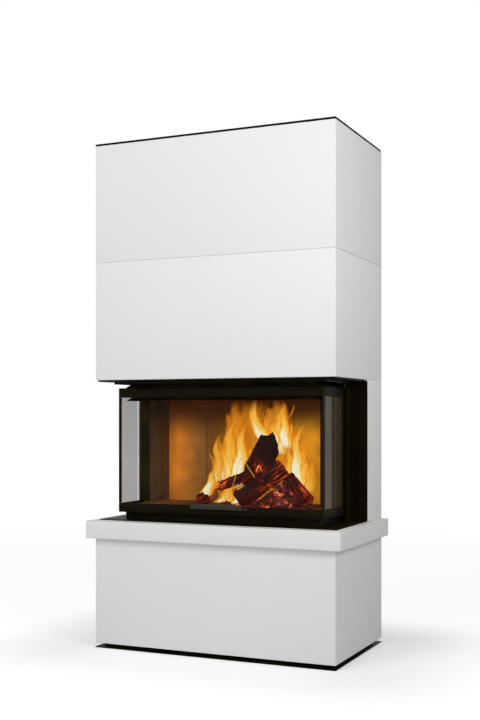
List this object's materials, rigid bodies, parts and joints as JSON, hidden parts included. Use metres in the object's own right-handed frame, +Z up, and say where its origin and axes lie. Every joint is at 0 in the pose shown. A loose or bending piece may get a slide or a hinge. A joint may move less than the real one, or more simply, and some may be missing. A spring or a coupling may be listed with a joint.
{
  "type": "tiled stove",
  "caption": "Tall white stacked stove surround with a collar shelf around a three-sided glazed firebox whose door lifts on chains and counterweights.",
  "frame": {"origin": "on the floor under the middle of the footprint", "axes": "+X to the viewer's right when facing the door, +Y towards the wall behind, +Z up"},
  "size_m": [1.12, 0.62, 2.1],
  "materials": {
    "white_panel": "matte white coat",
    "black_steel": "satin black",
    "grey_steel": "satin",
    "galvanised": "galvanised sheet",
    "cast_iron": "rough",
    "fireclay": "matte, sooty",
    "glass": "clear ceramic glass",
    "rope": "woven glass tape",
    "firewood": "charred bark"
  },
  "bodies": {
    "stove": {"air_wash_deflector": "black_steel", "ash_pan": "galvanised", "back_lining_1": "fireclay", "back_lining_2": "fireclay", "back_lining_3": "fireclay", "back_lining_4": "fireclay", "baffle": "fireclay", "collar": "white_panel", "firebox_shell": "black_steel", "floor_plate": "black_steel", "flue_elbow": "black_steel", "grate": "cast_iron", "hearth_tray": "black_steel", "hood_carrier": "black_steel", "hood_lower": "white_panel", "hood_upper": "white_panel", "insert_base": "black_steel", "insert_stand": "black_steel", "left_chain": "grey_steel", "left_cheek_plate": "black_steel", "left_column": "white_panel", "left_guide_channel": "black_steel", "left_hearth_brick": "fireclay", "left_side_lining": "fireclay", "lintel_frame": "black_steel", "log_front": "firewood", "log_leaning": "firewood", "log_right": "firewood", "log_small": "firewood", "lower_door_seal": "rope", "pedestal": "white_panel", "rear_cover_hood": "galvanised", "rear_cover_middle": "galvanised", "right_chain": "grey_steel", "right_cheek_plate": "black_steel", "right_column": "white_panel", "right_guide_channel": "black_steel", "right_hearth_brick": "fireclay", "right_side_lining": "fireclay", "smoke_dome": "black_steel", "top_plate": "black_steel", "upper_door_seal": "rope"},
    "door": {"door_top_rail": "black_steel", "door_bottom_rail": "black_steel", "left_rear_stile": "black_steel", "right_rear_stile": "black_steel", "left_corner_bead": "black_steel", "right_corner_bead": "black_steel", "front_glass": "glass", "left_side_glass": "glass", "right_side_glass": "glass", "door_handle": "grey_steel"},
    "left_lower_roller": {"left_lower_roller": "grey_steel"},
    "left_upper_roller": {"left_upper_roller": "grey_steel"},
    "right_lower_roller": {"right_lower_roller": "grey_steel"},
    "right_upper_roller": {"right_upper_roller": "grey_steel"},
    "lift_shaft": {"lift_shaft": "grey_steel"},
    "left_counterweight": {"left_counterweight": "cast_iron"},
    "right_counterweight": {"right_counterweight": "cast_iron"},
    "air_slide": {"air_slide": "grey_steel"}
  },
  "joints": [
    {"name": "door_lift", "type": "slide", "parent": "stove", "child": "door", "axis": [0, 0, 1], "range_m": [0, 0.48], "deforming": ["left_chain", "right_chain"]},
    {"name": "left_counterweight_slide", "type": "slide", "parent": "stove", "child": "left_counterweight", "axis": [0, 0, 1], "range_m": [-0.48, 0]},
    {"name": "right_counterweight_slide", "type": "slide", "parent": "stove", "child": "right_counterweight", "axis": [0, 0, 1], "range_m": [-0.48, 0]},
    {"name": "lift_shaft_turn", "type": "hinge", "parent": "stove", "child": "lift_shaft", "pos_m": [0, 0.10207, 1.64], "axis": [1, 0, 0], "range_deg": [-561, 0]},
    {"name": "left_lower_roller_turn", "type": "hinge", "parent": "door", "child": "left_lower_roller", "pos_m": [-0.452, 0.053, 0.6385], "axis": [1, 0, 0], "range_deg": [-1940, 0]},
    {"name": "left_upper_roller_turn", "type": "hinge", "parent": "door", "child": "left_upper_roller", "pos_m": [-0.452, 0.053, 1.025], "axis": [1, 0, 0], "range_deg": [-1940, 0]},
    {"name": "right_lower_roller_turn", "type": "hinge", "parent": "door", "child": "right_lower_roller", "pos_m": [0.452, 0.053, 0.6385], "axis": [1, 0, 0], "range_deg": [-1940, 0]},
    {"name": "right_upper_roller_turn", "type": "hinge", "parent": "door", "child": "right_upper_roller", "pos_m": [0.452, 0.053, 1.025], "axis": [1, 0, 0], "range_deg": [-1940, 0]},
    {"name": "air_slide_travel", "type": "slide", "parent": "stove", "child": "air_slide", "axis": [1, 0, 0], "range_m": [0, 0.1]}
  ],
  "couplings": [
    {"joint": "left_counterweight_slide", "follows": "door_lift", "ratio": -1},
    {"joint": "right_counterweight_slide", "follows": "door_lift", "ratio": -1},
    {"joint": "lift_shaft_turn", "follows": "door_lift", "rad_per_m": -20.379},
    {"joint": "left_lower_roller_turn", "follows": "door_lift", "rad_per_m": -70.422},
    {"joint": "left_upper_roller_turn", "follows": "door_lift", "rad_per_m": -70.422},
    {"joint": "right_lower_roller_turn", "follows": "door_lift", "rad_per_m": -70.422},
    {"joint": "right_upper_roller_turn", "follows": "door_lift", "rad_per_m": -70.422}
  ]
}
